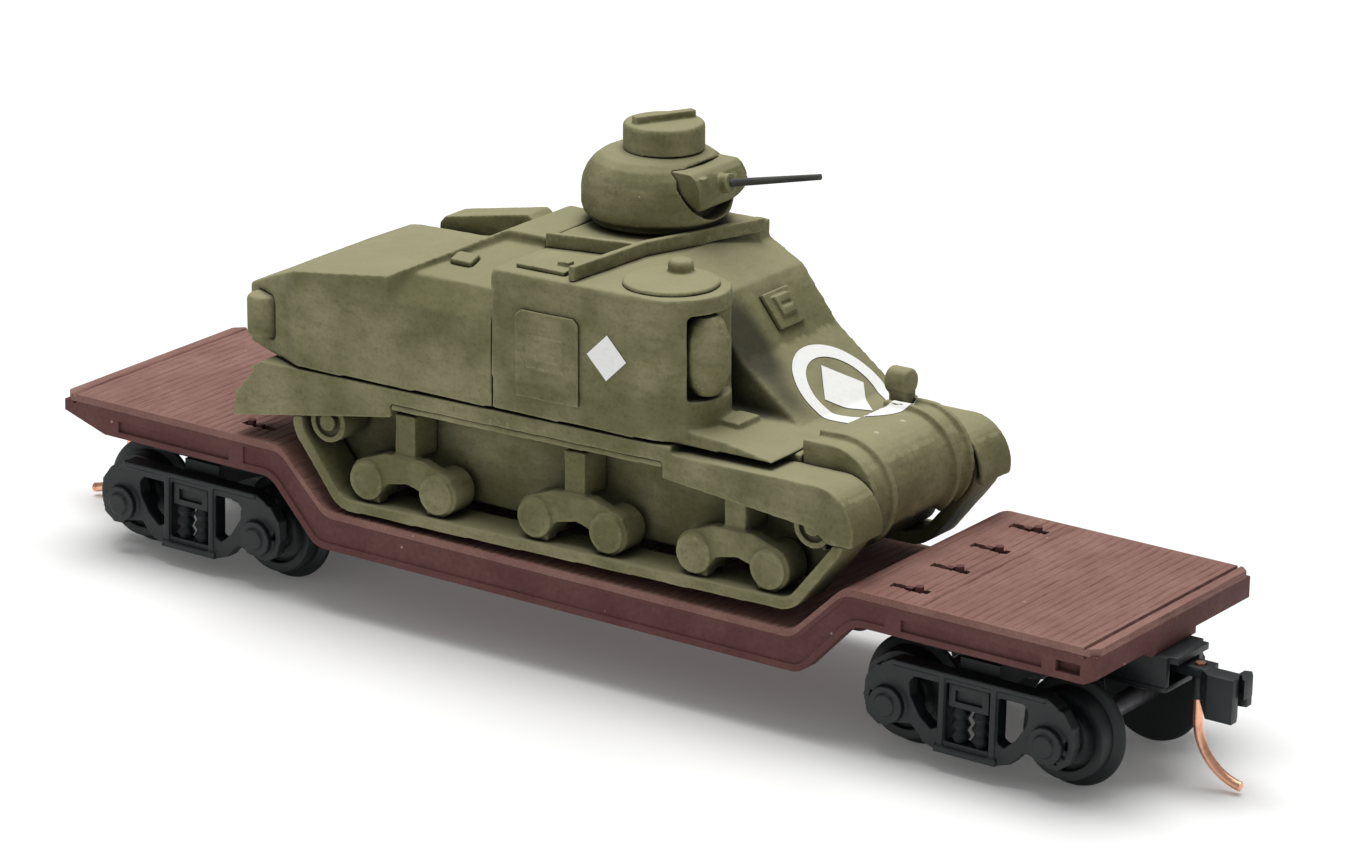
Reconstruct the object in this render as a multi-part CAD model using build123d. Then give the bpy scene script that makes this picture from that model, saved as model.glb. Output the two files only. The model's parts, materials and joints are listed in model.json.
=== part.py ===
from build123d import *

"""Z-gauge model flat car with a depressed centre deck, carrying a cast miniature tank.

Frame: millimetres, +Z up, +X along the car towards the tank's nose, z = 0 at the bottom of the
wheel flanges, x = y = 0 at the middle of the car.  Tank parts are drawn level and then tipped
nose-up together, because the load rests on the rear of the well and on the front end deck.
"""

import math
import os

# ---------------------------------------------------------------- driving dimensions: the car
CAR_LENGTH = 53.3
CAR_WIDTH = 12.4
END_DECK_TOP = 7.3
WELL_DECK_TOP = 4.85
WELL_BOTTOM = 3.05
END_SILL_BOTTOM = 5.72
SLOPE_FOOT_X = 12.1
SLOPE_HEAD_X = 14.6
DECK_THICKNESS = 0.35
DECK_JOINT_X = 15.6
UNDERSIDE_PLATE = 0.45
SIDE_SILL_THICKNESS = 0.8
CENTRE_SILL_WIDTH = 2.6
WELL_WEB_DEPTH = 0.1
END_WEB_DEPTH = 0.15
POCKET_DEPTH = 0.35
END_CUT = {1: (0.6, 0.35), -1: (2.3, 0.75)}
WEB_TOP_DROP = 0.2
WEB_MARGIN = 0.3

# ---------------------------------------------------------------- driving dimensions: running gear
TRUCK_X = 20.24
WHEELBASE = 7.62
AXLE_Z = 2.4
FLANGE_R = 2.4
TREAD_R = 1.95
TREAD_TAPER_R = 1.87
BACK_TO_BACK = 6.1
FLANGE_W = 0.28
TREAD_W = 0.82
AXLE_R = 0.45
JOURNAL_R = 0.25
RUNNING_GAP = 0.05
FRAME_INNER_Y = 4.65
FRAME_OUTER_Y = 5.35
BOLSTER_TOP = 5.15
BOLSTER_BOTTOM = 3.75
PAD_TOP_GAP = 0.1
SPRING_SEAT = 1.41
SPRING_TOP = 2.93
BOLSTER_END_BOTTOM = 2.95
KINGPIN_R = 0.5

# ---------------------------------------------------------------- driving dimensions: couplers
COUPLER_PIVOT_X = 25.5
BOX_REAR_X = 23.9
BOX_FRONT_X = 27.2
BOX_ROOF_X = 27.6
BOX_TOP = 5.7
BOX_BOTTOM = 4.4
BOX_HALF_WIDTH = 1.5
BOX_WALL = 0.3
LID_THICKNESS = 0.25
SCREW_R = 0.4
SHANK_Z = (4.78, 5.22)
PIN_R = 0.21
PIN_X = 27.95
PIN_TOP = 5.28
PIN_BEND_Z = 2.9
PIN_TIP = (30.1, 0.36)
HEAD_X = (28.3, 30.0)
HEAD_Z = (3.3, 5.2)
KNUCKLE_TIP_X = 30.2

# ---------------------------------------------------------------- driving dimensions: the tank load
TANK_TILT = 1.5
TANK_REAR_CONTACT = (-11.2, 5.0)
TANK_HALF_WIDTH = 6.2
TRACK_WIDTH = 2.2
TRACK_BOTTOM = 5.0
TRACK_THICKNESS = 0.5
SPROCKET = (12.9, 8.78)
IDLER = (-12.1, 8.78)
WHEEL_END_R = 1.12
TUB_HALF_WIDTH = 3.85
TUB_BOTTOM = 5.75
SPONSON_BOTTOM = 11.1
SPONSON_ROOF = 17.25
CENTRE_ROOF = 17.65
SHOULDER_Z = 14.85
CASEMATE_REAR_X = -3.1
GUN_SPONSON = (4.7, -3.85, 2.35)
GUN_TURN = -17
TURRET_XY = (-0.8, 2.75)
TURRET_R = 3.27
TURRET_BASE = 17.75
TURRET_TOP = 20.92
CUPOLA_R = 1.76
CUPOLA_TOP = 22.1
BARREL_ELEVATION = 12.0
BARREL_LENGTH = 5.6
GLACIS = [(4.75, 16.0), (6.6, 13.6), (10.5, 10.55)]
GLACIS_SLOPE = math.degrees(math.atan2(2.4, 1.85))
GUN_Z = 14.65
ROOF_PLATE = [(-3.1, -2.05), (1.0, -1.3), (1.0, -1.0), (3.05, 4.95), (3.05, 5.7), (-3.1, 5.7)]
BOGIE_X = (-8.2, 0.7, 8.85)
ROAD_WHEEL_R = 0.98

HALF_L = CAR_LENGTH / 2
HALF_W = CAR_WIDTH / 2


# ---------------------------------------------------------------- helpers
def block(x0, x1, y0, y1, z0, z1):
    """Box from its lowest to its highest corner."""
    return Pos((x0 + x1) / 2, (y0 + y1) / 2, (z0 + z1) / 2) * Box(x1 - x0, y1 - y0, z1 - z0)


def rod_z(x, y, z0, z1, r):
    """Upright cylinder between two heights."""
    return Pos(x, y, (z0 + z1) / 2) * Cylinder(r, z1 - z0)


def rod_y(x, y0, y1, z, r):
    """Cylinder that runs across the car from y0 to y1."""
    return Pos(x, (y0 + y1) / 2, z) * Rot(-90, 0, 0) * Cylinder(r, y1 - y0)


def side_plate(points, y0, y1):
    """Outline of (x, z) points, extruded across the car from y0 to y1."""
    face = Plane.XZ * make_face(Polyline(points, close=True))
    return Pos(0, y1, 0) * extrude(face, amount=y1 - y0)


def plan_plate(points, z0, z1):
    """Outline of (x, y) points, extruded upward from z0 to z1."""
    return Pos(0, 0, z0) * extrude(make_face(Polyline(points, close=True)), amount=z1 - z0)


def turned_end(shape):
    """The same piece at the car's other end: half a turn about the upright centre line."""
    return Rot(0, 0, 180) * shape


def mirrored(shape):
    """The same piece on the other side of the car."""
    return mirror(shape, about=Plane.XZ)


def soften(shape, edges, radius):
    """Round the given edges, and leave the piece sharp where the kernel can't."""
    try:
        rounded = fillet(edges, radius)
        return rounded if rounded.is_valid else shape
    except ValueError:
        return shape


def tipped(shape):
    """Tip a level tank part nose-up about the rear end of its tracks."""
    x, z = TANK_REAR_CONTACT
    return Pos(x, 0, z) * Rot(0, -TANK_TILT, 0) * Pos(-x, 0, -z) * shape


# ---------------------------------------------------------------- the car's body and decks
def well_profile(top_drop, bottom_rise, half_length):
    """Side view of the depressed-centre frame: flat ends, a low middle and rounded slopes."""
    end_top, well_top = END_DECK_TOP - top_drop, WELL_DECK_TOP - top_drop
    end_low, well_low = END_SILL_BOTTOM + bottom_rise, WELL_BOTTOM + bottom_rise
    lower_shift = 0.5
    points = [
        (-half_length, end_top), (-SLOPE_HEAD_X, end_top), (-SLOPE_FOOT_X, well_top),
        (SLOPE_FOOT_X, well_top), (SLOPE_HEAD_X, end_top), (half_length, end_top),
        (half_length, end_low), (SLOPE_HEAD_X + lower_shift, end_low),
        (SLOPE_FOOT_X + lower_shift, well_low), (-SLOPE_FOOT_X - lower_shift, well_low),
        (-SLOPE_HEAD_X - lower_shift, end_low), (-half_length, end_low),
    ]
    face = make_face(Polyline(points, close=True))
    bends = [v for v in face.vertices() if abs(v.X) < half_length - 1]
    return fillet(bends, 1.1)


def profile_solid(face, y0, y1):
    """Extrude a side view across the car."""
    return Pos(0, y1, 0) * extrude(Plane.XZ * face, amount=y1 - y0)


def make_car_body():
    """Frame casting: side sills, end sills, centre sill, cross-bearers and bolster pads."""
    body = profile_solid(well_profile(DECK_THICKNESS, 0, HALF_L), -HALF_W, HALF_W)
    inner_half = HALF_W - SIDE_SILL_THICKNESS
    hollow = profile_solid(well_profile(DECK_THICKNESS + UNDERSIDE_PLATE, -0.3, HALF_L - 0.9),
                           -inner_half, inner_half)
    keep = block(-HALF_L, HALF_L, -CENTRE_SILL_WIDTH / 2, CENTRE_SILL_WIDTH / 2, 0, 9)
    for x in (-9.0, -3.0, 3.0, 9.0):
        keep += block(x - 0.3, x + 0.3, -HALF_W, HALF_W, 0, 9)
    low_under = well_profile(0, 0.35, HALF_L)
    keep = keep & profile_solid(low_under, -HALF_W, HALF_W)
    body -= (hollow - keep)
    for end in (1, -1):
        pad = block(TRUCK_X - 1.0, TRUCK_X + 1.0, -4.2, 4.2, BOLSTER_TOP + PAD_TOP_GAP + 0.35, 6.9)
        pad += rod_z(TRUCK_X, 0, BOLSTER_TOP + PAD_TOP_GAP, 6.6, 1.5)
        pad += block(BOX_REAR_X - 0.2, HALF_L - 0.4, -1.7, 1.7, BOX_TOP, 6.9)
        pad -= rod_z(TRUCK_X, 0, 4.0, 6.61, KINGPIN_R)
        pad -= rod_z(COUPLER_PIVOT_X, 0, 4.0, 6.61, SCREW_R)
        bores = rod_z(TRUCK_X, 0, 4.0, 6.61, KINGPIN_R)
        bores += rod_z(COUPLER_PIVOT_X, 0, 4.0, 6.61, SCREW_R)
        below = block(TRUCK_X - 3.2, HALF_L - 1.2, -1.5, 1.5, 0, BOX_TOP)
        body -= place_end(below, end)
        body += place_end(pad, end)
        body -= place_end(bores, end)
        body -= place_end(corner_cut(*END_CUT[end]), end)
    return carve_sills(body)


def place_end(shape, end):
    """Put a front-end shape at the front (+1) or, turned, at the rear (-1)."""
    return shape if end > 0 else turned_end(shape)


def both_ends(shape):
    """Two separate copies of a piece, one at each end of the car."""
    return Compound(children=[shape, turned_end(shape)])


def corner_cut(length, height):
    """Slanted cut under an end sill, on both sides of the coupler box."""
    points = [(HALF_L - length, 5.0), (HALF_L + 0.1, 5.0), (HALF_L + 0.1, END_SILL_BOTTOM + height),
              (HALF_L - length, END_SILL_BOTTOM - 0.01)]
    clear_of_box = BOX_HALF_WIDTH + 0.3
    cut = side_plate(points, clear_of_box, HALF_W + 0.1)
    return cut + mirrored(cut)


def carve_sills(body):
    """Shallow webs along both side sills, sunk deeper near the ends, and the stake pockets."""
    outline = offset(well_profile(WEB_TOP_DROP, 0, HALF_L), amount=-WEB_MARGIN)
    web = profile_solid(outline, -WELL_WEB_DEPTH, WELL_WEB_DEPTH)
    web = web & block(-SLOPE_HEAD_X - 2, SLOPE_HEAD_X + 2, -1, 1, 0, 9)
    web += block(17.4, 24.1, -END_WEB_DEPTH, END_WEB_DEPTH, 5.98, 6.5)
    web += block(24.75, 25.9, -POCKET_DEPTH, POCKET_DEPTH, 6.02, 6.5)
    web += block(-23.6, -17.4, -END_WEB_DEPTH, END_WEB_DEPTH, 5.98, 6.5)
    for side in (1, -1):
        body -= Pos(0, side * HALF_W, 0) * web
    return body


def make_deck(x0, x1):
    """Plank deck, a strip of even thickness that follows the frame between two stations."""
    strip = well_profile(0, 0, HALF_L) - well_profile(DECK_THICKNESS, -1.0, HALF_L + 1)
    deck = profile_solid(strip, -HALF_W, HALF_W) & block(x0, x1, -HALF_W, HALF_W, 0, 9)
    return deck.solids()[0] if len(deck.solids()) == 1 else deck


TIE_DOWN_Y = (-4.65, -1.55, 1.55, 4.65)


def tie_down_slots(end):
    """Slots through an end deck, where the tie-down rings sit."""
    slots = [block(15.95, 17.75, y - 0.2, y + 0.2, 6.9, 8) for y in TIE_DOWN_Y]
    return [place_end(slot, end) for slot in slots]


def make_end_deck(end):
    """End deck with its tie-down slots, chamfered corners and the scored line by the end sill."""
    deck = make_deck(DECK_JOINT_X, HALF_L)
    for y in (-HALF_W, HALF_W):
        corner = Pos(HALF_L, y, END_DECK_TOP) * Rot(0, 0, 45) * Box(0.5, 0.5, 2)
        deck -= corner
    deck -= block(HALF_L - 0.62, HALF_L - 0.5, -5.1, 5.1, END_DECK_TOP - 0.12, 8)
    deck = place_end(deck, end)
    for slot in tie_down_slots(end):
        deck -= slot
    return deck


def make_tie_downs():
    """Eight small tie-downs, each a bar with a cross lug and a knob, lying in the deck's slots."""
    pieces = []
    for end in (1, -1):
        for y in TIE_DOWN_Y:
            bar = block(16.0, 17.6, y - 0.14, y + 0.14, 6.96, 7.15)
            knob = rod_z(17.3, y, 7.0, 7.5, 0.18) + block(16.7, 17.0, y - 0.14, y + 0.14, 7.0, 7.36)
            pieces.append(place_end(bar + knob, end))
    return Compound(children=pieces)


# ---------------------------------------------------------------- trucks
def frame_outline():
    """Outline of a cast sideframe in (x, z), about the truck's centre."""
    half = [(0, 4.42), (3.6, 4.42), (4.2, 4.1), (4.6, 3.5), (4.66, 2.9), (4.5, 2.0), (4.1, 1.62),
            (3.4, 1.62), (2.7, 1.75), (2.1, 1.1), (1.5, 0.9), (0, 0.9)]
    return half + [(-x, z) for x, z in reversed(half[1:-1])]


def brake_shoe(s, y0, y1):
    """J-shaped brake shoe that hangs outside the journal box, just off the wheel's face."""
    outer = [(3.9, 4.1), (4.5, 3.95), (4.98, 3.3), (5.05, 2.5), (4.85, 1.75), (4.3, 1.35), (3.75, 1.4)]
    inner = [(3.75, 1.62), (4.25, 1.6), (4.6, 1.95), (4.75, 2.55), (4.68, 3.2), (4.3, 3.65), (3.9, 3.8)]
    return side_plate([(s * x, z) for x, z in outer + inner], y0, y1)


def make_sideframe(truck_x, side):
    """Cast sideframe: straight top chord, bolster window, spring window and side openings."""
    y0, y1 = FRAME_INNER_Y, FRAME_OUTER_Y
    frame = side_plate(frame_outline(), y0, y1)
    frame -= block(-1.05, 1.05, y0 - 1, y1 + 1, 1.4, 3.95)
    for s in (1, -1):
        opening = side_plate([(s * 1.45, 3.85), (s * 2.6, 3.85), (s * 2.85, 3.55), (s * 2.8, 3.0),
                              (s * 2.3, 2.2), (s * 1.75, 1.75), (s * 1.45, 1.9)], y0 - 1, y1 + 1)
        frame -= opening
        frame += brake_shoe(s, y0 + 0.15, y1)
        box = rod_y(s * WHEELBASE / 2, y1 - 0.1, y1 + 0.3, AXLE_Z, 0.8)
        lid = rod_y(s * WHEELBASE / 2, y1 + 0.2, y1 + 0.42, AXLE_Z, 0.48)
        frame += box + lid
        frame -= rod_y(s * WHEELBASE / 2, y0 - 0.1, y0 + 0.55, AXLE_Z, JOURNAL_R + RUNNING_GAP)
    rib = block(-3.7, 3.7, y1 - 0.1, y1 + 0.14, 4.16, 4.42)
    rib += block(-1.5, 1.5, y1 - 0.1, y1 + 0.2, 0.9, 1.2)
    for x in (-1.24, 1.24):
        rib += block(x - 0.14, x + 0.14, y1 - 0.1, y1 + 0.14, 1.1, 4.2)
    frame += rib
    frame = Pos(truck_x, 0, 0) * frame
    return frame if side > 0 else mirrored(frame)


def make_springs(truck_x):
    """Bolster springs: two turned coils under each end of the bolster, on both sides."""
    pieces = []
    for side in (1, -1):
        for x in (-0.5, 0.5):
            turns = 3
            pitch = (SPRING_TOP - SPRING_SEAT) / turns
            profile = [(0, SPRING_SEAT), (0.28, SPRING_SEAT)]
            for k in range(turns):
                z = SPRING_SEAT + k * pitch
                profile += [(0.42, z + pitch * 0.5), (0.28, z + pitch)]
            profile += [(0, SPRING_TOP)]
            face = Plane.XZ * make_face(Polyline(profile, close=True))
            coil = revolve(face, axis=Axis.Z)
            pieces.append(Pos(truck_x + x, side * (FRAME_INNER_Y + 0.35), 0) * coil)
    return Compound(children=pieces)


def make_bolster(truck_x):
    """Truck bolster: a beam through both frame windows, a top plate, a centre plate and a bore."""
    reach = FRAME_OUTER_Y - 0.05
    beam = plan_plate([(-0.95, -reach), (0.95, -reach), (0.95, -2.6), (1.5, -1.2), (1.5, 1.2),
                       (0.95, 2.6), (0.95, reach), (-0.95, reach), (-0.95, 2.6), (-1.5, 1.2),
                       (-1.5, -1.2), (-0.95, -2.6)], BOLSTER_BOTTOM, BOLSTER_TOP - 0.3)
    for side in (1, -1):
        y_ends = sorted((side * (FRAME_INNER_Y - 0.6), side * reach))
        beam += block(-0.95, 0.95, y_ends[0], y_ends[1], BOLSTER_END_BOTTOM, BOLSTER_BOTTOM + 0.1)
        y_recess = sorted((side * (reach - 0.2), side * (reach + 1)))
        beam -= block(-0.65, 0.65, y_recess[0], y_recess[1], 3.2, 3.7)
    window_top = 3.95
    for side in (1, -1):
        y_edges = sorted((side * (FRAME_INNER_Y - 0.15), side * (reach + 1)))
        beam -= block(-2, 2, y_edges[0], y_edges[1], window_top - 0.03, 9)
    beam += block(-2.9, 2.9, -4.3, 4.3, BOLSTER_TOP - 0.31, BOLSTER_TOP - 0.12)
    beam += rod_z(0, 0, BOLSTER_TOP - 0.35, BOLSTER_TOP, 1.4)
    beam -= rod_z(0, 0, 3, 6, KINGPIN_R + RUNNING_GAP)
    return Pos(truck_x, 0, 0) * beam


def make_kingpin(truck_x):
    """Kingpin screw: head under the bolster, shank up into the car body."""
    screw = rod_z(0, 0, BOLSTER_BOTTOM - 0.1, 6.55, KINGPIN_R)
    screw += rod_z(0, 0, BOLSTER_BOTTOM - 0.65, BOLSTER_BOTTOM - 0.1, 1.0)
    screw -= block(-1.1, 1.1, -0.12, 0.12, BOLSTER_BOTTOM - 0.7, BOLSTER_BOTTOM - 0.4)
    return Pos(truck_x, 0, 0) * screw


def make_axle(x):
    """Axle with a stepped journal at each end, running in the sideframes."""
    seat = BACK_TO_BACK / 2 + FLANGE_W + TREAD_W + 0.15
    axle = rod_y(x, -seat, seat, AXLE_Z, AXLE_R)
    tip = FRAME_INNER_Y + 0.5
    return axle + rod_y(x, -tip, tip, AXLE_Z, JOURNAL_R)


def make_wheel_pair(x):
    """Two flanged wheels with dished faces, pressed on one axle."""
    y0 = BACK_TO_BACK / 2
    y1 = y0 + FLANGE_W
    y2 = y1 + TREAD_W
    profile = [(AXLE_R, y0), (FLANGE_R - 0.08, y0), (FLANGE_R, y0 + 0.1), (FLANGE_R - 0.06, y1 - 0.06),
               (TREAD_R, y1 + 0.04), (TREAD_TAPER_R, y2), (1.55, y2), (1.42, y2 - 0.28),
               (0.95, y2 - 0.34), (0.8, y2 - 0.05), (AXLE_R, y2 - 0.05)]
    face = make_face(Polyline([(r, y) for r, y in profile], close=True))
    wheel = Pos(x, 0, AXLE_Z) * revolve(face, axis=Axis.Y)
    return Compound(children=[wheel, mirrored(wheel)])


# ---------------------------------------------------------------- couplers, drawn at the front end
def make_coupler_box():
    """Draft gear box: a roof with two side walls and a rear wall, open at the mouth and below."""
    box = block(BOX_REAR_X, BOX_FRONT_X, -BOX_HALF_WIDTH, BOX_HALF_WIDTH, BOX_BOTTOM, BOX_TOP)
    box += block(BOX_REAR_X, BOX_ROOF_X, -BOX_HALF_WIDTH + 0.25, BOX_HALF_WIDTH - 0.25,
                 BOX_TOP - 0.3, BOX_TOP)
    box -= block(BOX_REAR_X + BOX_WALL, BOX_ROOF_X + 1, -BOX_HALF_WIDTH + BOX_WALL,
                 BOX_HALF_WIDTH - BOX_WALL, BOX_BOTTOM - 1, BOX_TOP - 0.3)
    return box - rod_z(COUPLER_PIVOT_X, 0, 4, 7, SCREW_R)


def make_coupler_lid():
    """Lid that closes the draft gear box from below."""
    lid = block(BOX_REAR_X, BOX_FRONT_X, -BOX_HALF_WIDTH, BOX_HALF_WIDTH,
                BOX_BOTTOM - LID_THICKNESS, BOX_BOTTOM)
    lid = soften(lid, lid.edges().filter_by(Axis.Z), 0.25)
    return lid - rod_z(COUPLER_PIVOT_X, 0, 4, 7, SCREW_R)


def make_coupler_screw():
    """Screw that holds the lid and the box to the body, and carries the coupler's shank."""
    low = BOX_BOTTOM - LID_THICKNESS
    screw = rod_z(COUPLER_PIVOT_X, 0, low, 6.55, SCREW_R)
    screw += rod_z(COUPLER_PIVOT_X, 0, low - 0.35, low, 0.75)
    return screw - block(COUPLER_PIVOT_X - 1, COUPLER_PIVOT_X + 1, -0.1, 0.1, low - 0.4, low - 0.2)


def make_centring_spring():
    """Bowed leaf spring in the back of the box, which brings the shank back to the middle."""
    leaf = block(BOX_REAR_X + BOX_WALL, BOX_REAR_X + BOX_WALL + 0.12, -1.15, 1.15, 4.85, 5.15)
    for y in (-1.0, 1.0):
        leaf += block(BOX_REAR_X + BOX_WALL, BOX_REAR_X + 0.62, y - 0.08, y + 0.08, 4.85, 5.15)
    return leaf


def make_coupler_head():
    """Shank with its pivot ring, and the head block with the guard arm."""
    z0, z1 = SHANK_Z
    shank = rod_z(COUPLER_PIVOT_X, 0, z0, z1, 0.82)
    shank += block(COUPLER_PIVOT_X, HEAD_X[0] + 0.2, -0.5, 0.5, z0, z1)
    head = plan_plate([(HEAD_X[0], -0.55), (HEAD_X[0] + 0.5, -0.95), (HEAD_X[1], -0.95),
                       (HEAD_X[1], -0.5), (HEAD_X[1] - 0.25, 0.02), (HEAD_X[0], 0.02)],
                      HEAD_Z[0], HEAD_Z[1])
    nose_cut = side_plate([(HEAD_X[0] - 0.1, HEAD_Z[0] - 0.1), (HEAD_X[0] + 0.55, HEAD_Z[0] - 0.1),
                           (HEAD_X[0] - 0.1, HEAD_Z[0] + 0.6)], -2, 2)
    coupler = shank + (head - nose_cut)
    coupler -= rod_z(COUPLER_PIVOT_X, 0, 4, 6, SCREW_R + RUNNING_GAP)
    return coupler - rod_z(PIN_X, 0, 4, 6, PIN_R + RUNNING_GAP)


def make_knuckle():
    """Swinging jaw that hangs on the trip pin and hooks in front of the head block."""
    z0, z1 = HEAD_Z[0] + 0.45, SHANK_Z[0] - 0.08
    arm = rod_z(PIN_X, 0, z0, z1, 0.32)
    arm += plan_plate([(PIN_X, 0.05), (HEAD_X[0] - 0.08, 0.12), (HEAD_X[1] - 0.2, 0.12),
                       (HEAD_X[1] + 0.05, 0.2), (HEAD_X[1] + 0.05, 0.6), (HEAD_X[0] + 0.3, 0.8),
                       (PIN_X, 0.32)], z0, z1)
    jaw = plan_plate([(HEAD_X[1] - 0.4, 0.12), (HEAD_X[1] - 0.2, 0.12), (HEAD_X[1] + 0.08, -0.3),
                      (KNUCKLE_TIP_X, -0.35), (KNUCKLE_TIP_X, 0.35), (HEAD_X[1] - 0.1, 0.8),
                      (HEAD_X[1] - 0.4, 0.7)], z1 - 0.45, HEAD_Z[1] - 0.1)
    return arm + jaw - rod_z(PIN_X, 0, 2, 6, PIN_R)


def make_trip_pin():
    """Round trip pin: upright through the knuckle, then curved forward just above the rail."""
    upright = Line((PIN_X, 0, PIN_TOP), (PIN_X, 0, PIN_BEND_Z))
    reach, drop = PIN_TIP[0] - PIN_X, PIN_BEND_Z - PIN_TIP[1]
    radius = (reach ** 2 + drop ** 2) / (2 * reach)
    centre_x = PIN_X + radius
    half_turn = math.atan2(drop, centre_x - PIN_TIP[0]) / 2
    middle = (centre_x - radius * math.cos(half_turn), 0, PIN_BEND_Z - radius * math.sin(half_turn))
    curve = ThreePointArc((PIN_X, 0, PIN_BEND_Z), middle, (PIN_TIP[0], 0, PIN_TIP[1]))
    section = Plane(origin=(PIN_X, 0, PIN_TOP), z_dir=(0, 0, -1)) * Circle(PIN_R)
    return sweep(section, path=Wire([upright, curve]))


# ---------------------------------------------------------------- the tank: running gear
def track_path(grow):
    """Side view of a track loop: sprocket, idler and the flat ground run, grown outward."""
    r_end = WHEEL_END_R + 0.12 + grow
    ground = TRACK_BOTTOM + TRACK_THICKNESS - grow
    corner = 0.9 + grow
    shapes = [(SPROCKET[0], SPROCKET[1], r_end), (IDLER[0], IDLER[1], r_end),
              (-10.75, ground + corner, corner), (11.4, ground + corner, corner)]
    points = []
    for k in range(96):
        a = 2 * math.pi * k / 96
        best = max(shapes, key=lambda s: s[0] * math.cos(a) + s[1] * math.sin(a) + s[2])
        points.append((best[0] + best[2] * math.cos(a), best[1] + best[2] * math.sin(a)))
    clean = [p for i, p in enumerate(points) if math.dist(p, points[i - 1]) > 0.02]
    return clean


def make_track(side):
    """One track: a smooth closed band around the sprocket, the idler and the bogies."""
    y0, y1 = TANK_HALF_WIDTH - TRACK_WIDTH, TANK_HALF_WIDTH - 0.05
    band = side_plate(track_path(TRACK_THICKNESS), y0, y1)
    band -= side_plate(track_path(0), y0 - 1, y1 + 1)
    return band if side > 0 else mirrored(band)


def make_bogies(side):
    """Three bogies: a straight bracket on a rounded arch that ends in two road wheels."""
    pieces = []
    low = TRACK_BOTTOM + TRACK_THICKNESS + 0.02
    wheel_z = low + ROAD_WHEEL_R
    hump_z = low + 2.0 * ROAD_WHEEL_R + 0.35
    for x in BOGIE_X:
        arch = side_plate([(x - 2.55, wheel_z + 0.75), (x - 1.0, hump_z), (x + 1.0, hump_z),
                           (x + 2.55, wheel_z + 0.75), (x + 2.2, low), (x - 2.2, low)], 5.1, 5.75)
        for dx in (-1.85, 1.85):
            arch += rod_y(x + dx, 4.3, 5.75, wheel_z, ROAD_WHEEL_R)
            arch += rod_y(x + dx, 5.7, 5.95, wheel_z, ROAD_WHEEL_R - 0.12)
            arch -= rod_y(x + dx, 5.85, 6.1, wheel_z, ROAD_WHEEL_R - 0.35)
        arch -= side_plate([(x - 1.25, low - 1), (x + 1.25, low - 1), (x + 1.25, low + 0.35),
                            (x + 0.85, low + 0.95), (x + 0.2, low + 1.15), (x - 0.85, low + 0.95),
                            (x - 1.25, low + 0.35)], 4, 7)
        bracket = block(x - 0.52, x + 0.52, TUB_HALF_WIDTH, 5.55, hump_z - 0.1, 9.7)
        pieces.append(arch + bracket)
    if side < 0:
        pieces = [mirrored(p) for p in pieces]
    return Compound(children=pieces)


def end_wheel(centre, teeth):
    """Sprocket or idler: a dished disc, with teeth on the sprocket."""
    x, z = centre
    wheel = rod_y(x, 4.2, 5.9, z, WHEEL_END_R - 0.2)
    wheel -= rod_y(x, 5.65, 6.1, z, WHEEL_END_R - 0.45)
    wheel += rod_y(x, 5.5, 5.95, z, 0.4)
    for k in range(teeth):
        angle = 360 * k / teeth
        tooth = Pos(x, 5.2, z) * Rot(0, angle, 0) * Pos(WHEEL_END_R - 0.15, 0, 0)
        wheel += tooth * Box(0.3, 0.5, 0.22)
    return wheel


def make_end_wheels(centre, teeth):
    """The pair of sprockets or idlers, one on each side, with their cross shaft."""
    wheel = end_wheel(centre, teeth)
    shaft = rod_y(centre[0], TUB_HALF_WIDTH, 4.3, centre[1], 0.5)
    return Compound(children=[wheel + shaft, mirrored(wheel + shaft)])


# ---------------------------------------------------------------- the tank: hull
def make_tub():
    """Lower hull between the tracks."""
    outline = [(-14.6, 11.0), (-14.9, 9.0), (-12.2, TUB_BOTTOM), (11.3, TUB_BOTTOM), (13.5, 7.75),
               (12.0, 8.1), (12.0, 9.8), (11.0, 10.4), (11.0, 11.0)]
    return side_plate(outline, -TUB_HALF_WIDTH, TUB_HALF_WIDTH)


def make_fender(side):
    """Long side guard: flat strip over the track, dropped rear skirt and rolled front end."""
    y0, y1 = TUB_HALF_WIDTH + 0.05, TANK_HALF_WIDTH
    strip = side_plate([(-16.3, 10.55), (-15.5, 11.0), (5.9, 11.0), (5.9, 10.7), (-15.3, 10.7)], y0, y1)
    rear = side_plate([(-17.1, 8.3), (-16.9, 9.4), (-15.5, 11.0), (-8.5, 11.0), (-8.5, 9.7)],
                      y1 - 0.35, y1)
    back = side_plate([(-17.1, 8.3), (-16.9, 9.4), (-15.5, 11.0), (-15.2, 11.0), (-16.55, 9.3),
                       (-16.7, 8.3)], y0, y1)
    lip = block(-8.6, 6.0, y1 - 0.25, y1, 10.3, 11.0)
    arc = [(13.1 + 1.95 * math.sin(a), 8.75 + 1.95 * math.cos(a))
           for a in (math.radians(8 * k) for k in range(14))]
    inner = [(13.1 + 1.72 * math.sin(a), 8.75 + 1.72 * math.cos(a))
             for a in (math.radians(8 * k) for k in range(14))]
    top = side_plate([(5.6, 10.7)] + arc + list(reversed(inner)) + [(5.6, 10.45)], y0, y1)
    skirt = side_plate([(5.6, 9.6), (5.6, 10.7)] + arc + [(13.9, 8.25), (13.0, 8.8)], y1 - 0.35, y1)
    guard = strip + rear + back + lip + top + skirt
    return guard if side > 0 else mirrored(guard)


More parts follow.
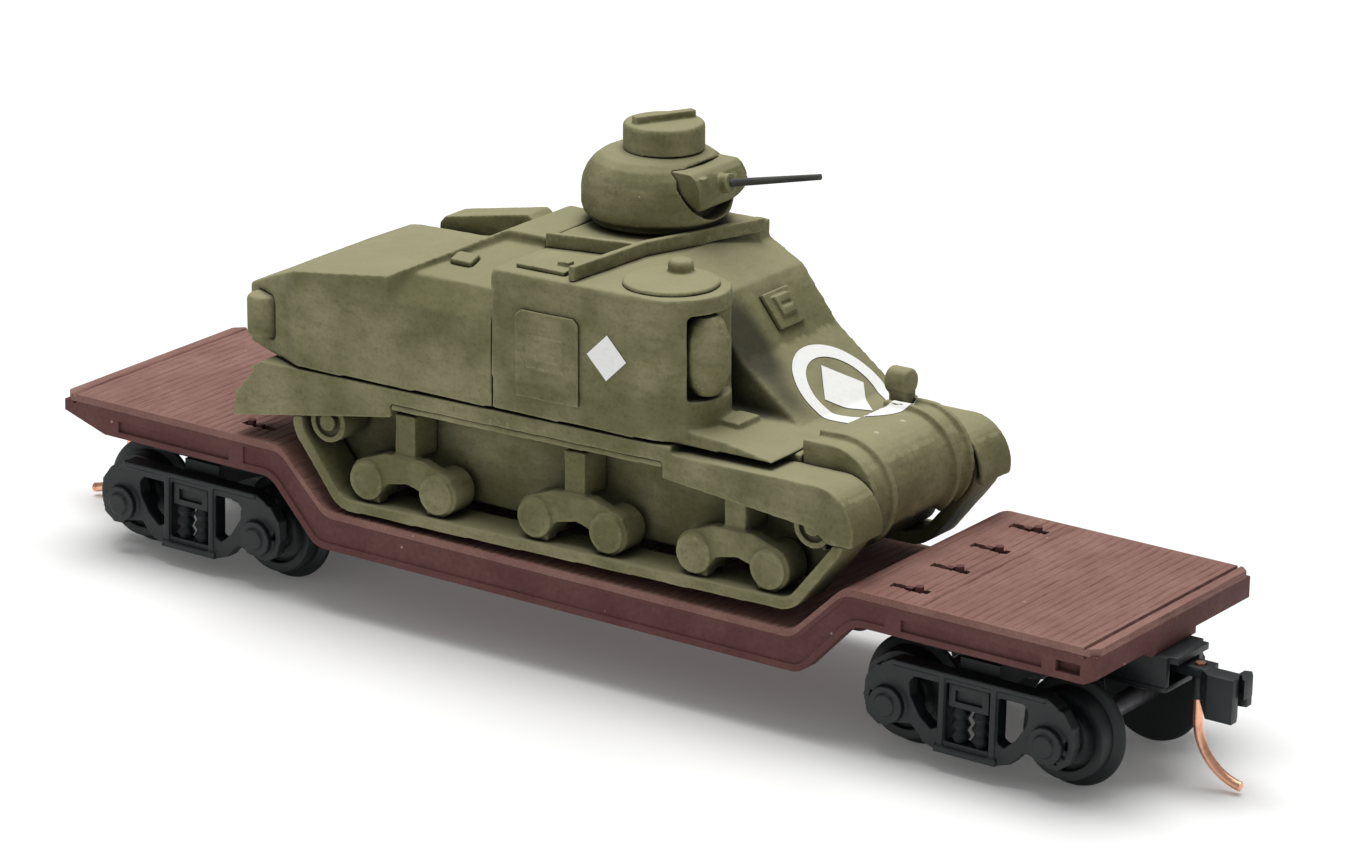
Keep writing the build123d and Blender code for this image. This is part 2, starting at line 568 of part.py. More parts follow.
def make_nose():
    """Rounded transmission cover in three parts, joined by two raised bolting flanges."""
    def profile(r):
        cx, cz = 12.3, 9.3
        arc = [(cx + r * math.sin(a), cz + r * math.cos(a))
               for a in (math.radians(10 * k) for k in range(15))]
        return [(12.02, 8.1), (12.02, 9.85), (11.05, 10.45), (11.05, cz + r)] + arc
    nose = side_plate(profile(2.2), -TUB_HALF_WIDTH, TUB_HALF_WIDTH)
    for y in (-2.45, 2.45):
        nose += side_plate(profile(2.5), y - 0.16, y + 0.16)
    for y in (-3.7, 3.7):
        nose += side_plate(profile(2.4), y - 0.14, y + 0.14)
    return nose


def make_upper_hull():
    """Casemate with the gun sponson at the right front and the sloped driver's plate."""
    w = TANK_HALF_WIDTH
    sx, sy, sr = GUN_SPONSON
    wall = plan_plate([(CASEMATE_REAR_X, -w), (sx, -w), (sx, -1.5), (2.4, -1.5), (2.4, w),
                       (CASEMATE_REAR_X, w)], SPONSON_BOTTOM, SPONSON_ROOF)
    wall = soften(wall, wall.edges().group_by(Axis.Z)[-1].filter_by(Axis.X).sort_by(Axis.Y)[0:1], 0.3)
    sponson = rod_z(sx, sy, SPONSON_BOTTOM, SPONSON_ROOF, sr)
    driver_outline = [(2.3, SPONSON_BOTTOM), (2.3, 17.3), (3.0, 16.95)] + GLACIS + [
        (GLACIS[-1][0], SPONSON_BOTTOM)]
    driver = side_plate(driver_outline, -1.6, w - 0.5)
    floor = side_plate([(4.9, 11.0), (4.9, 11.75), (8.4, 11.5), (10.7, 11.1), (10.7, 11.0)],
                       -w + 0.6, w - 0.5)
    floor += block(6.9, 8.0, -4.0, -2.4, 11.0, 11.85)
    roof = plan_plate(ROOF_PLATE, SPONSON_ROOF - 0.5, CENTRE_ROOF)
    hull = wall + sponson + driver + floor + roof
    opening = Pos(sx, sy, GUN_Z) * Rot(0, 0, GUN_TURN) * Pos(sr, 0.5, 0) * Box(2.2, 3.0, 3.7)
    socket = rod_z(*TURRET_XY, 16.5, 19, 1.25)
    return hull - opening - socket


def make_roof_rims():
    """Raised rim bars along the front and right edges of the middle roof plate."""
    z0, z1 = SPONSON_ROOF, CENTRE_ROOF + 0.26
    front = plan_plate([(0.72, -5.95), (1.02, -5.95), (1.3, -1.1), (3.35, 4.9), (3.05, 5.0),
                        (1.0, -1.0)], z0, z1)
    side = plan_plate([(-3.05, -2.35), (-3.05, -2.08), (1.02, -1.32), (1.02, -1.6)], z0, z1)
    rims = front + side
    return rims - plan_plate(ROOF_PLATE, 16, CENTRE_ROOF) - block(2.3, 9, -1.6, 6, 16, 17.31)


def make_engine_deck():
    """Rear hull over the engine: sloping deck, cut-in rear corners and a raised right-hand box."""
    w = TANK_HALF_WIDTH
    x1 = CASEMATE_REAR_X - 0.02
    plan = [(-17.45, -4.3), (-13.55, -w), (x1, -w), (x1, w), (-13.55, w), (-17.45, 4.3)]
    mass = plan_plate(plan, SPONSON_BOTTOM, 19)
    box_side = side_plate([(-17.5, 11), (-17.45, 13.8), (-15.6, 14.6), (-13.55, 15.4), (-8.6, 16.0),
                           (-8.6, 11)], -w, w)
    far_fall = Plane.YZ * make_face(Polyline(
        [(-w, 11), (-w, 17), (0.5, 17), (1.5, 15.9), (w, 14.1), (w, 11)], close=True))
    box_side = box_side & (Pos(-18, 0, 0) * extrude(far_fall, amount=10))
    ramp = plan_plate([(-8.6, -w), (-5.2, -2.1), (-5.2, 2.6), (-8.6, 2.6)], SPONSON_BOTTOM, 19)
    ramp += block(-5.3, x1, -2.1, 2.6, SPONSON_BOTTOM, 19)
    ramp = ramp & side_plate([(-8.6, 11), (-8.6, 16.0), (-5.2, CENTRE_ROOF), (x1, CENTRE_ROOF), (x1, 11)],
                             -w, w)
    shoulder_face = Plane.YZ * make_face(Polyline(
        [(-w, 11.1), (-w, SHOULDER_Z), (-w + 0.9, SHOULDER_Z + 1.2), (-2.1, 17.2), (2.0, 17.2),
         (w - 0.9, SHOULDER_Z + 1.0), (w, SHOULDER_Z - 0.5), (w, 11.1)], close=True))
    shoulder = Pos(-8.6, 0, 0) * extrude(shoulder_face, amount=x1 + 8.6)
    shoulder = shoulder & side_plate([(-8.6, 11), (-8.6, 15.75), (-5.2, 17.3), (x1, 17.3), (x1, 11)], -w, w)
    return (mass & box_side) + shoulder + ramp


def make_rear_louvres():
    """Louvred plate on the hull's rear face."""
    plate = block(-17.65, -17.45, -2.6, 2.6, 11.3, 13.0)
    for z in (11.6, 12.1, 12.6):
        plate += block(-17.85, -17.6, -2.4, 2.4, z - 0.1, z + 0.1)
    return plate


def make_air_cleaners():
    """Two upright air cleaners at the rear corners of the engine deck."""
    can = rod_z(-16.1, -5.0, 11.8, 13.7, 0.8)
    can = soften(can, can.edges(), 0.25)
    return Compound(children=[can, mirrored(can)])


def make_stowage():
    """Folded tarpaulin stowed along the left side of the engine deck, sloping with it."""
    roll = side_plate([(-13.3, 14.3), (-13.3, 15.25), (-13.0, 15.6), (-8.5, 16.4), (-8.1, 16.1),
                       (-8.0, 15.2)], 3.9, 5.5)
    return soften(roll, roll.edges().filter_by(Axis.Y), 0.15)


def make_side_door(side):
    """Side door: a raised plate with a pistol-port cover and its hinge strip."""
    w = TANK_HALF_WIDTH
    door = side_plate([(-1.75, 11.95), (-1.75, 15.5), (-1.5, 15.75), (1.2, 15.75), (1.45, 15.5),
                       (1.45, 11.95)], w, w + 0.17)
    door += side_plate([(-1.1, 13.35), (-1.1, 14.7), (0.75, 14.7), (0.75, 13.35)], w + 0.1, w + 0.27)
    door += block(-0.6, 0.4, w + 0.2, w + 0.36, 13.75, 14.0)
    return door if side > 0 else mirrored(door)


def make_gun_rotor():
    """Curved gun shield in the sponson's opening; the miniature has no barrel in it."""
    sx, sy, sr = GUN_SPONSON
    bulge = [(0, -1.75), (0.5, -1.7), (0.86, -1.2), (1.02, -0.5), (1.05, 0.1), (0.98, 0.8),
             (0.76, 1.4), (0.5, 1.7), (0, 1.75)]
    rotor = revolve(Plane.XZ * make_face(Polyline(bulge, close=True)), axis=Axis.Z)
    return Pos(sx, sy, GUN_Z) * Rot(0, 0, GUN_TURN) * Pos(sr - 0.5, 0.15, 0) * rotor


def make_sponson_hatch():
    """Round hatch on the sponson roof, with a small sight cover."""
    disc = rod_z(4.45, -3.8, SPONSON_ROOF, SPONSON_ROOF + 0.2, 2.05)
    disc = soften(disc, disc.edges().group_by(Axis.Z)[-1], 0.12)
    knob = rod_z(4.1, -2.6, SPONSON_ROOF + 0.15, SPONSON_ROOF + 0.75, 0.55)
    return disc + soften(knob, knob.edges().group_by(Axis.Z)[-1], 0.25)


def make_roof_fittings():
    """Rear roof hatch with its handle, and the filler cover on the shoulder."""
    plate = block(-2.3, 0.2, -5.5, -3.0, SPONSON_ROOF, SPONSON_ROOF + 0.2)
    plate += block(-0.6, 0.0, -4.9, -4.5, SPONSON_ROOF + 0.1, SPONSON_ROOF + 0.42)
    cap = Pos(-6.1, -3.85, 16.4) * Rot(20, 0, 0) * Box(1.1, 0.7, 0.7)
    return Compound(children=[plate, cap])



def on_glacis(x, z, y):
    """A place on the steep driver's plate, with local z pointing out of the plate."""
    return Pos(x, y, z) * Rot(0, GLACIS_SLOPE, 0)


def make_driver_port():
    """Driver's port: a hinged cover with a raised frame and a vision slot."""
    place = on_glacis((GLACIS[0][0] + GLACIS[1][0]) / 2, (GLACIS[0][1] + GLACIS[1][1]) / 2, 2.6)
    port = place * Pos(0, 0, 0.13) * Box(1.7, 1.9, 0.24)
    port += place * Pos(-0.1, 0, 0.3) * Box(0.9, 1.1, 0.3)
    return port - place * Pos(-0.1, 0, 0.45) * Box(0.2, 0.7, 0.2)


def make_lamp():
    """The one headlamp, on a low bracket at the left of the transmission cover."""
    lamp = Pos(11.3, 3.3, 12.45) * Rot(0, 90, 0) * Cylinder(0.6, 1.1)
    lamp = soften(lamp, lamp.edges(), 0.18)
    return lamp + block(10.95, 11.75, 2.85, 3.75, 11.3, 12.2)


# ---------------------------------------------------------------- the tank: turret
def make_turret():
    """Cast turret: round sides, rounded shoulder, a mantlet recess and a locating spigot."""
    x, y = TURRET_XY
    r, z0, z1 = TURRET_R, TURRET_BASE, TURRET_TOP
    shoulder = 1.72
    arc = [(r - shoulder + shoulder * math.cos(a), z1 - shoulder + shoulder * math.sin(a))
           for a in (math.radians(15 * k) for k in range(7))]
    profile = [(0, z0), (r - 0.45, z0), (r - 0.42, z0 + 0.2), (r - 0.1, z0 + 0.45), (r, z0 + 0.8)]
    profile += arc + [(0, z1)]
    shell = revolve(Plane.XZ * make_face(Polyline(profile, close=True)), axis=Axis.Z)
    shell += rod_z(0, 0, CENTRE_ROOF - 0.6, z0 + 0.1, 1.2)
    recess = Pos(r + 0.75, 0, 20.25) * Rot(0, 90, 0) * Cylinder(2.05, 3.4)
    shell -= recess & block(0, r + 3, -3, 3, 18, 20.6)
    return Pos(x, y, 0) * shell


def make_mantlet():
    """Curved mantlet in the turret's recess, with the gun's sleeve."""
    x, y = TURRET_XY
    shield = Pos(0, 0, 19.6) * Rot(90, 0, 0) * Cylinder(1.0, 3.6)
    shield = shield & block(-1, 1, -2, 2, 18.7, 20.5)
    shield = shield & (Pos(0, 0, 20.25) * Rot(0, 90, 0) * Cylinder(1.95, 3))
    shield += block(-0.2, 0.95, -1.5, -1.1, 19.2, 20.3)
    sleeve = Rot(0, 90 - BARREL_ELEVATION, 0) * Pos(0, 0, 0.9) * Cylinder(0.42, 1.0)
    return Pos(x + 2.45, y, 0) * (shield + Pos(0, 0, 19.6) * sleeve)


def make_barrel():
    """Slim tapered barrel, a length of wire let into the mantlet's sleeve."""
    x, y = TURRET_XY
    tube = Pos(0, 0, 1.4 + BARREL_LENGTH / 2 - 0.5) * Cone(0.18, 0.13, BARREL_LENGTH - 1.0)
    return Pos(x + 2.45, y, 19.6) * Rot(0, 90 - BARREL_ELEVATION, 0) * tube


def make_cupola():
    """Round cupola with a flat lid and a raised bar across it."""
    x, y = TURRET_XY
    cx, cy = x + 0.35, y
    ring = rod_z(cx, cy, TURRET_TOP, CUPOLA_TOP, CUPOLA_R)
    ring = soften(ring, ring.edges().group_by(Axis.Z)[-1], 0.2)
    bar = Pos(cx, cy, CUPOLA_TOP) * Rot(0, 0, 62) * Box(2.9, 0.42, 0.7)
    return ring + bar


# ---------------------------------------------------------------- build everything
SEATED_IN = {
    "tank_lower_hull": ["tank_nose"],
    "tank_upper_hull": ["tank_driver_port", "tank_roof_fittings", "tank_gun_rotor"],
    "tank_engine_deck": ["tank_roof_fittings", "tank_stowage_roll", "tank_air_cleaners"],
    "tank_nose": ["tank_lamp"],
    "tank_track_left": ["tank_fender_left", "tank_bogies_left", "tank_sprockets"],
    "tank_track_right": ["tank_fender_right", "tank_bogies_right", "tank_sprockets"],
    "tank_idlers": ["tank_fender_left", "tank_fender_right"],
    "tank_sprockets": ["tank_fender_left", "tank_fender_right"],
    "turret_shell": ["turret_mantlet"],
    "turret_mantlet": ["turret_barrel"],
}


def build_parts():
    """Every sub-part by name, in place."""
    parts = {
        "car_body": make_car_body(),
        "centre_deck": make_deck(-DECK_JOINT_X, DECK_JOINT_X),
        "end_deck_front": make_end_deck(1),
        "end_deck_rear": make_end_deck(-1),
        "tie_down_rings": make_tie_downs(),
        "kingpins": both_ends(make_kingpin(TRUCK_X)),
        "coupler_screws": both_ends(make_coupler_screw()),
        "centring_springs": both_ends(make_centring_spring()),
    }
    for name, end in (("front", 1), ("rear", -1)):
        x = end * TRUCK_X
        parts[f"bolster_{name}"] = make_bolster(x)
        parts[f"bolster_springs_{name}"] = make_springs(x)
        for side_name, side in (("left", 1), ("right", -1)):
            parts[f"sideframe_{name}_{side_name}"] = make_sideframe(x, side)
        for axle_name, offset_x in (("outer", 1), ("inner", -1)):
            axle_x = x + end * offset_x * WHEELBASE / 2
            parts[f"axle_{name}_{axle_name}"] = make_axle(axle_x)
            parts[f"wheels_{name}_{axle_name}"] = make_wheel_pair(axle_x)
        coupler = {
            "coupler_box": make_coupler_box, "coupler_lid": make_coupler_lid,
            "coupler_head": make_coupler_head, "coupler_knuckle": make_knuckle,
            "trip_pin": make_trip_pin,
        }
        for part_name, maker in coupler.items():
            parts[f"{part_name}_{name}"] = place_end(maker(), end)
    tank = {
        "tank_lower_hull": make_tub(),
        "tank_upper_hull": make_upper_hull(),
        "tank_engine_deck": make_engine_deck(),
        "tank_nose": make_nose(),
        "tank_rear_louvres": make_rear_louvres(),
        "tank_air_cleaners": make_air_cleaners(),
        "tank_roof_rims": make_roof_rims(),
        "tank_stowage_roll": make_stowage(),
        "tank_gun_rotor": make_gun_rotor(),
        "tank_sponson_hatch": make_sponson_hatch(),
        "tank_roof_fittings": make_roof_fittings(),
        "tank_driver_port": make_driver_port(),
        "tank_lamp": make_lamp(),
        "tank_side_doors": Compound(children=[make_side_door(1), make_side_door(-1)]),
        "tank_sprockets": make_end_wheels(SPROCKET, 10),
        "tank_idlers": make_end_wheels(IDLER, 0),
        "turret_shell": make_turret(),
        "turret_mantlet": make_mantlet(),
        "turret_barrel": make_barrel(),
        "turret_cupola": make_cupola(),
    }
    for side_name, side in (("left", 1), ("right", -1)):
        tank[f"tank_fender_{side_name}"] = make_fender(side)
        tank[f"tank_track_{side_name}"] = make_track(side)
        tank[f"tank_bogies_{side_name}"] = make_bogies(side)
    for host, guests in SEATED_IN.items():
        for guest in guests:
            for solid in tank[guest].solids():
                tank[host] = tank[host] - solid
    for name, shape in tank.items():
        parts[name] = tipped(shape)
    return parts


os.makedirs("parts", exist_ok=True)
PARTS = build_parts()
for part_name, shape in PARTS.items():
    export_step(shape, f"parts/{part_name}.step")
print(len(PARTS), "parts written")
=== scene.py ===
import json
import math

import bmesh
import bpy
import numpy as np
from mathutils import Matrix, Vector, noise
from mathutils.bvhtree import BVHTree


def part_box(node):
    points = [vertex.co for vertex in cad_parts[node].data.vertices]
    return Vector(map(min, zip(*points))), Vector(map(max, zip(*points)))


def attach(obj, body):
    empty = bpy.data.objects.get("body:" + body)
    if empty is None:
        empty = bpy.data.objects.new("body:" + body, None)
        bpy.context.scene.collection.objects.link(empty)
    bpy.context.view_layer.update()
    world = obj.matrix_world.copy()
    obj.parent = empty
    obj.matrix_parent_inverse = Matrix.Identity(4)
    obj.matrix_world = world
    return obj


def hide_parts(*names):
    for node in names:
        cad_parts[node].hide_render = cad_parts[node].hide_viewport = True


# Looks for a small-gauge model flat car with a depressed centre, carrying a cast miniature tank.
# The frame is in metres. Meshes are drawn in millimetres and scaled on the way into Blender.

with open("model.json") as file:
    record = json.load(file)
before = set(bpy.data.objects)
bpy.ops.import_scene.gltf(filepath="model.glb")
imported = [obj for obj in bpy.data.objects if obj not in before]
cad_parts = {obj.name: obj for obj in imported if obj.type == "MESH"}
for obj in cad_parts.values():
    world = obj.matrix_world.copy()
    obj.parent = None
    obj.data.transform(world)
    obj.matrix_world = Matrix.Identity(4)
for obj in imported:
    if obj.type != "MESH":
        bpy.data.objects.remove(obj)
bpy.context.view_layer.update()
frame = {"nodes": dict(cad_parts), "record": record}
NODES = frame["nodes"]
NODE_BODY = {n: body for body, members in frame["record"]["behaviour"]["bodies"].items() for n in members}
NODE_SLOT = {row["node"]: row["material_slot"] for row in frame["record"]["subparts"]}
MM = 0.001
ENDS = ("front", "rear")
SIDES = ("left", "right")


# ---------------------------------------------------------------- materials
class Graph:
    """A material's node tree, with short calls for the nodes used here."""

    def __init__(self, name):
        self.material = bpy.data.materials.new(name)
        self.material.use_nodes = True
        self.tree = self.material.node_tree
        self.tree.nodes.clear()
        self.shader = self.add("ShaderNodeBsdfPrincipled")
        output = self.add("ShaderNodeOutputMaterial")
        self.join(self.shader.outputs[0], output.inputs[0])
        coordinates = self.add("ShaderNodeTexCoord")
        in_mm = self.add("ShaderNodeMapping")
        in_mm.inputs["Scale"].default_value = (1 / MM, 1 / MM, 1 / MM)
        self.join(coordinates.outputs["Object"], in_mm.inputs["Vector"])
        self.place = in_mm.outputs[0]

    def add(self, kind):
        return self.tree.nodes.new(kind)

    def join(self, a, b):
        self.tree.links.new(a, b)

    def stretched(self, scale):
        """The place in millimetres, scaled per axis."""
        node = self.add("ShaderNodeMapping")
        node.inputs["Scale"].default_value = scale
        self.join(self.place, node.inputs["Vector"])
        return node.outputs[0]

    def noise(self, per_mm, detail=3.0, roughness=0.55, place=None):
        """Smooth noise with so many features per millimetre."""
        node = self.add("ShaderNodeTexNoise")
        node.inputs["Scale"].default_value = per_mm
        node.inputs["Detail"].default_value = detail
        node.inputs["Roughness"].default_value = roughness
        self.join(place or self.place, node.inputs["Vector"])
        return node.outputs["Fac"]

    def ramp(self, value, low, high):
        """0 below low, 1 above high, smooth between."""
        node = self.add("ShaderNodeMapRange")
        node.interpolation_type = "SMOOTHSTEP"
        node.inputs["From Min"].default_value = low
        node.inputs["From Max"].default_value = high
        self.join(value, node.inputs["Value"])
        return node.outputs["Result"]

    def level(self, value, low, high):
        """A 0 to 1 value brought to the range low to high."""
        node = self.add("ShaderNodeMapRange")
        node.inputs["To Min"].default_value = low
        node.inputs["To Max"].default_value = high
        self.join(value, node.inputs["Value"])
        return node.outputs["Result"]

    def maths(self, what, a, b):
        node = self.add("ShaderNodeMath")
        node.operation = what
        for socket, value in zip(node.inputs, (a, b)):
            if isinstance(value, (int, float)):
                socket.default_value = value
            else:
                self.join(value, socket)
        return node.outputs[0]

    def mix(self, share, a, b):
        """Colour a where share is 0, b where it is 1."""
        node = self.add("ShaderNodeMix")
        node.data_type = "RGBA"
        self.join(share, node.inputs["Factor"])
        for socket, value in ((node.inputs["A"], a), (node.inputs["B"], b)):
            colour_socket = [s for s in node.inputs if s.name == socket.name and s.type == "RGBA"][0]
            if isinstance(value, tuple):
                colour_socket.default_value = (*value, 1)
            else:
                self.join(value, colour_socket)
        return [s for s in node.outputs if s.type == "RGBA"][0]

    # mask for painted shade: ambient occlusion darkening in recesses and inside corners
    def shade_in_recesses(self, reach_mm):
        """1 in recesses and along inside corners, 0 on open surfaces."""
        node = self.add("ShaderNodeAmbientOcclusion")
        node.samples = 8
        node.inputs["Distance"].default_value = reach_mm * MM
        return self.maths("SUBTRACT", 1.0, node.outputs["AO"])

    def edge(self, low, high):
        """1 along outside edges of a dense mesh."""
        node = self.add("ShaderNodeNewGeometry")
        return self.ramp(node.outputs["Pointiness"], low, high)

    def upward(self, low, high):
        """1 on surfaces that face up."""
        geometry = self.add("ShaderNodeNewGeometry")
        split = self.add("ShaderNodeSeparateXYZ")
        self.join(geometry.outputs["Normal"], split.inputs[0])
        return self.ramp(split.outputs["Z"], low, high)

    def specks(self, per_mm, size, share):
        """Small round dots, in a share of the cells."""
        node = self.add("ShaderNodeTexVoronoi")
        node.inputs["Scale"].default_value = per_mm
        self.join(self.place, node.inputs["Vector"])
        dot = self.maths("LESS_THAN", node.outputs["Distance"], size)
        split = self.add("ShaderNodeSeparateColor")
        self.join(node.outputs["Color"], split.inputs[0])
        chosen = self.maths("LESS_THAN", split.outputs[0], share)
        return self.maths("MULTIPLY", dot, chosen)

    # mask for painted shade patches, put where shade falls
    def painted_shade_patch(self, centre_mm, reach_mm):
        """1 at a place on the piece, fading to 0 at the given reach along each axis."""
        node = self.add("ShaderNodeMapping")
        node.inputs["Location"].default_value = tuple(-c / r for c, r in zip(centre_mm, reach_mm))
        node.inputs["Scale"].default_value = tuple(1 / r for r in reach_mm)
        self.join(self.place, node.inputs["Vector"])
        length = self.add("ShaderNodeVectorMath")
        length.operation = "LENGTH"
        self.join(node.outputs[0], length.inputs[0])
        return self.ramp(length.outputs["Value"], 1.0, 0.45)

    def bump(self, heights):
        """Surface relief from (height socket, millimetres) pairs."""
        last = None
        for height, size_mm in heights:
            node = self.add("ShaderNodeBump")
            node.inputs["Strength"].default_value = 1.0
            node.inputs["Distance"].default_value = size_mm * MM
            self.join(height, node.inputs["Height"])
            if last is not None:
                self.join(last, node.inputs["Normal"])
            last = node.outputs[0]
        self.join(last, self.shader.inputs["Normal"])

    def colour(self, socket):
        self.join(socket, self.shader.inputs["Base Color"])

    def roughness(self, socket):
        self.join(socket, self.shader.inputs["Roughness"])


def car_paint(name, base, light, dark, grain_axis=None):
    """Matt oxide paint over moulded plastic; top faces lighter with dust and painted top light, corners and
    recesses darkened with painted shade.
    """
    g = Graph(name)
    cloud = g.ramp(g.noise(0.35, 4), 0.35, 0.7)
    mottle = g.noise(5.0, 3)
    col = g.mix(g.level(cloud, 0.0, 0.55), base, light)
    col = g.mix(g.level(g.ramp(mottle, 0.3, 0.75), 0.0, 0.35), col, tuple(0.72 * c for c in base))
    heights = [(g.noise(1.2, 3), 0.02), (g.noise(14.0, 2), 0.012)]
    if grain_axis is not None:
        scale = tuple(0.5 if k == grain_axis else 16.0 for k in range(3))
        streak = g.noise(1.0, 4, 0.6, g.stretched(scale))
        col = g.mix(g.level(g.ramp(streak, 0.45, 0.8), 0.0, 0.6), col, light)
        col = g.mix(g.level(g.ramp(streak, 0.5, 0.25), 0.0, 0.5), col, dark)
        heights.append((streak, 0.035))
    # top faces lighter: partly dust, partly painted top light
    col = g.mix(g.level(g.upward(0.6, 0.95), 0.0, 0.22), col, light)
    # painted shade: corners and recesses darkened from ambient occlusion
    col = g.mix(g.level(g.ramp(g.shade_in_recesses(0.5), 0.25, 0.8), 0.0, 0.75), col, dark)
    col = g.mix(g.level(g.specks(1.5, 0.1, 0.06), 0.0, 0.45), col, (0.55, 0.42, 0.36))
    g.colour(col)
    g.roughness(g.level(mottle, 0.6, 0.85))
    g.shader.inputs["Specular IOR Level"].default_value = 0.3
    g.bump(heights)
    return g.material


def cast_paint(name, base, light, dark, wear=0.35, shade_patches=()):
    """Olive paint brushed over a white-metal casting: soft lumps, lighter edges, top faces lighter with
    painted top light and dust, painted shade in recesses and in any patches given.
    """
    g = Graph(name)
    cloud = g.ramp(g.noise(0.3, 4), 0.35, 0.68)
    brush = g.noise(1.0, 3, 0.6, g.stretched((1.2, 1.2, 3.5)))
    mottle = g.noise(6.0, 3)
    col = g.mix(g.level(cloud, 0.0, 0.6), base, light)
    col = g.mix(g.level(g.ramp(brush, 0.4, 0.75), 0.0, 0.35), col, tuple(0.7 * c for c in base))
    col = g.mix(g.level(g.ramp(mottle, 0.45, 0.8), 0.0, 0.25), col, dark)
    # top faces lighter: painted top light, partly dust
    col = g.mix(g.level(g.upward(0.55, 0.98), 0.0, 0.75), col, light)
    col = g.mix(g.level(g.edge(0.515, 0.56), 0.0, wear), col, light)
    # painted shade: recesses and inside corners darkened from ambient occlusion, at a short and a long
    # reach
    col = g.mix(g.level(g.ramp(g.shade_in_recesses(0.8), 0.25, 0.8), 0.0, 0.8), col, dark)
    col = g.mix(g.level(g.ramp(g.shade_in_recesses(3.0), 0.35, 0.95), 0.0, 0.75), col, dark)
    # painted shade patches where shade falls on the piece
    for centre_mm, reach_mm in shade_patches:
        col = g.mix(g.level(g.painted_shade_patch(centre_mm, reach_mm), 0.0, 0.85), col, dark)
    col = g.mix(g.level(g.specks(0.8, 0.1, 0.05), 0.0, 0.6), col, (0.6, 0.55, 0.4))
    g.colour(col)
    g.roughness(g.level(mottle, 0.62, 0.9))
    g.shader.inputs["Specular IOR Level"].default_value = 0.25
    g.bump([(g.noise(0.9, 3), 0.06), (g.noise(4.0, 3), 0.02), (g.noise(16.0, 2), 0.007)])
    return g.material


def moulded_plastic(name, base, light, rough):
    """Black engineering plastic with a faint mould texture, lighter on faces that look up."""
    g = Graph(name)
    mottle = g.noise(4.0, 4)
    col = g.mix(g.level(g.ramp(mottle, 0.4, 0.75), 0.0, 0.5), base, light)
    col = g.mix(g.level(g.upward(0.5, 0.95), 0.0, 0.35), col, light)
    g.colour(col)
    g.roughness(g.level(mottle, rough - 0.1, rough + 0.15))
    g.bump([(g.noise(3.0, 3), 0.012), (g.noise(18.0, 2), 0.006)])
    return g.material


def bare_metal(name, base, dark, rough, drawn_axis=2):
    """Bare wire or screw metal with fine drawing lines and tarnish."""
    g = Graph(name)
    scale = tuple(1.0 if k == drawn_axis else 22.0 for k in range(3))
    lines = g.noise(1.0, 3, 0.6, g.stretched(scale))
    tarnish = g.ramp(g.noise(2.5, 4), 0.45, 0.75)
    g.colour(g.mix(g.level(tarnish, 0.0, 0.7), base, dark))
    g.roughness(g.level(lines, rough - 0.08, rough + 0.2))
    g.shader.inputs["Metallic"].default_value = 1.0
    g.bump([(lines, 0.006)])
    return g.material


def marking_paint(name, base):
    """Thin white marking paint that lets the casting's texture through."""
    g = Graph(name)
    mottle = g.noise(5.0, 4)
    g.colour(g.mix(g.level(g.ramp(mottle, 0.5, 0.8), 0.0, 0.5), base, tuple(0.82 * c for c in base)))
    g.roughness(g.level(mottle, 0.5, 0.75))
    g.bump([(g.noise(4.0, 3), 0.015)])
    return g.material


# the _DARK tones are also painted shade in corners and recesses, and the _LIGHT tones also painted top
# light on top faces
BROWN = (0.105, 0.038, 0.035)
BROWN_LIGHT = (0.165, 0.075, 0.066)
BROWN_DARK = (0.03, 0.012, 0.011)
DECK = (0.215, 0.1, 0.082)
DECK_LIGHT = (0.36, 0.205, 0.168)
DECK_DARK = (0.05, 0.021, 0.018)
OLIVE = (0.148, 0.142, 0.062)
OLIVE_LIGHT = (0.345, 0.325, 0.19)
OLIVE_DARK = (0.022, 0.021, 0.012)

# painted shade patches where shade falls, in the niche beside the sponson and under the nose: centre and
# reach in millimetres
PAINTED_SHADE_PATCHES = (
    ((5.6, -0.6, 14.2), (3.0, 1.9, 3.6)), ((7.2, -0.9, 12.0), (2.2, 1.6, 1.6)),
    ((13.6, 0.0, 7.9), (1.6, 4.2, 1.0)),
)

MATERIALS = {
    "car_brown": car_paint("car_side_paint", BROWN, BROWN_LIGHT, BROWN_DARK),
    "deck_brown": car_paint("deck_paint", DECK, DECK_LIGHT, DECK_DARK, grain_axis=1),
    "truck_black": moulded_plastic("truck_plastic", (0.003, 0.0068, 0.0075), (0.0105, 0.0165, 0.018), 0.46),
    "screw_steel": bare_metal("screw_metal", (0.16, 0.16, 0.17), (0.06, 0.06, 0.06), 0.4, 1),
    "trip_pin_copper": bare_metal("copper_wire", (0.93, 0.5, 0.33), (0.5, 0.25, 0.17), 0.28),
    # the tank paint carries the painted shade patches
    "tank_olive": cast_paint("tank_paint", OLIVE, OLIVE_LIGHT, OLIVE_DARK, shade_patches=PAINTED_SHADE_PATCHES),
    "gun_metal": cast_paint("gun_paint", (0.05, 0.05, 0.046), (0.11, 0.11, 0.1), (0.015, 0.015, 0.014)),
    "white": marking_paint("marking_white", (0.94, 0.94, 0.92)),
}


# ---------------------------------------------------------------- mesh helpers
def new_piece(name, body, material_key, points_mm, faces, smooth_angle=35):
    """A mesh from points in millimetres, riding on a CAD body."""
    mesh = bpy.data.meshes.new(name)
    mesh.from_pydata([Vector(p) * MM for p in points_mm], [], faces)
    mesh.validate()
    return finish_piece(name, mesh, body, material_key, smooth_angle)


